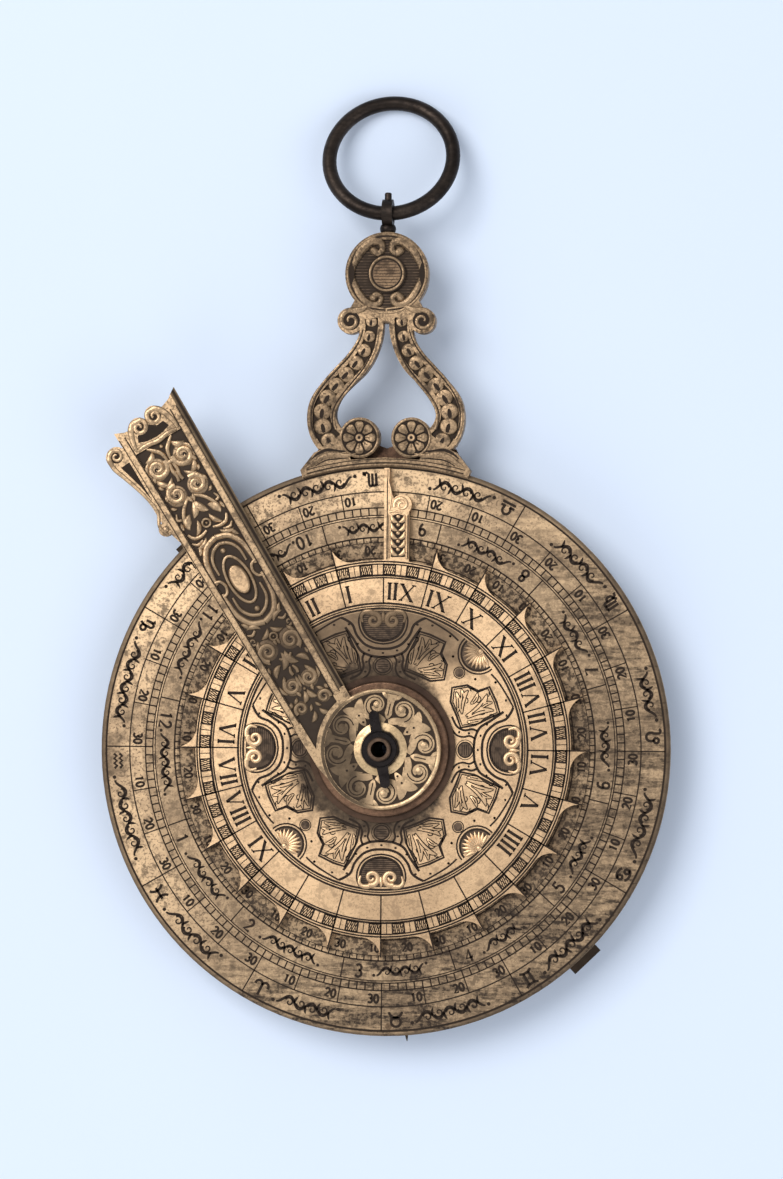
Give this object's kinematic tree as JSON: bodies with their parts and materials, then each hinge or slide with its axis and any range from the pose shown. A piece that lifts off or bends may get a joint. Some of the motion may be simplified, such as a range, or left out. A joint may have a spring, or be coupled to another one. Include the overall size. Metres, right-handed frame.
{
  "type": "nocturnal dial",
  "caption": "Hand-held brass night clock: engraved base disc, toothed hour disc with date tongue, long reading arm on a hollow pivot, lyre handle with hanging ring, sighting rule behind.",
  "frame": {"origin": "on the axis of the sight hole, in the plane that the back rests on", "axes": "+Z out of the dial's face along the sight hole, +Y towards the hanging ring, +X to the right as the face is read"},
  "size_m": [0.0766, 0.1277, 0.0127],
  "materials": {
    "dial_brass": "old gilt brass, engraved and filled with dark wax, worn grey on one side",
    "hour_brass": "old gilt brass, engraved and filled with dark wax",
    "arm_brass": "old gilt brass, carved, dark in the hollows",
    "rosette_brass": "old gilt brass, chased, dark in the hollows",
    "bright_brass": "rubbed bright by use",
    "boss_brass": "old gilt brass, smooth",
    "collar_bronze": "red brown patina, turned",
    "pivot_bronze": "brown patina",
    "washer_brass": "dull brass",
    "handle_brass": "cast and chased gilt brass, dark in the hollows",
    "rivet_brass": "old gilt brass, smooth",
    "rear_brass": "old gilt brass, rubbed",
    "vane_brass": "brown patina",
    "throne_bronze": "red brown patina",
    "plug_bronze": "brown patina",
    "dark_bronze": "dark bronze patina, rubbed on the edges",
    "nut_steel": "dark oxidised steel",
    "screw_steel": "dark oxidised steel"
  },
  "bodies": {
    "base": {"base_disc": "dial_brass", "rim_plug": "plug_bronze", "friction_washer": "washer_brass", "domed_washer": "bright_brass", "ring_nut": "nut_steel", "pivot_tube": "pivot_bronze", "rear_spacer": "washer_brass", "rear_boss": "boss_brass", "handle": "handle_brass", "knob_plug": "plug_bronze", "throne_plate": "throne_bronze", "throne_screws": "screw_steel", "handle_rivets": "rivet_brass"},
    "hour_plate": {"hour_disc": "hour_brass"},
    "reading_arm": {"index_arm": "arm_brass", "arm_cabochon": "boss_brass", "hub_collar": "collar_bronze", "hub_rosette": "rosette_brass"},
    "rear_hand": {"rear_index": "rear_brass"},
    "sight_rule": {"sighting_rule": "rear_brass", "lower_sight_vane": "vane_brass", "upper_sight_vane": "vane_brass", "lower_vane_rivet": "plug_bronze", "upper_vane_rivet": "plug_bronze"},
    "swivel": {"swivel_shackle": "dark_bronze"},
    "ring": {"suspension_ring": "dark_bronze"}
  },
  "joints": [
    {"name": "hour_turn", "type": "hinge", "parent": "base", "child": "hour_plate", "pos_m": [0, 0, 0.00815], "axis": [0, 0, 1], "continuous": true},
    {"name": "arm_turn", "type": "hinge", "parent": "base", "child": "reading_arm", "pos_m": [0, 0, 0.0102], "axis": [0, 0, 1], "continuous": true},
    {"name": "rear_hand_turn", "type": "hinge", "parent": "base", "child": "rear_hand", "pos_m": [0, 0, 0.00425], "axis": [0, 0, 1], "continuous": true},
    {"name": "rule_turn", "type": "hinge", "parent": "base", "child": "sight_rule", "pos_m": [0, 0, 0.00345], "axis": [0, 0, 1], "continuous": true},
    {"name": "swivel_turn", "type": "hinge", "parent": "base", "child": "swivel", "pos_m": [0, 0.0692, 0.0069], "axis": [0, 1, 0], "continuous": true},
    {"name": "ring_swing", "type": "hinge", "parent": "swivel", "child": "ring", "pos_m": [0, 0.0718, 0.0069], "axis": [1, 0, 0], "range_deg": [-114, 155]}
  ]
}
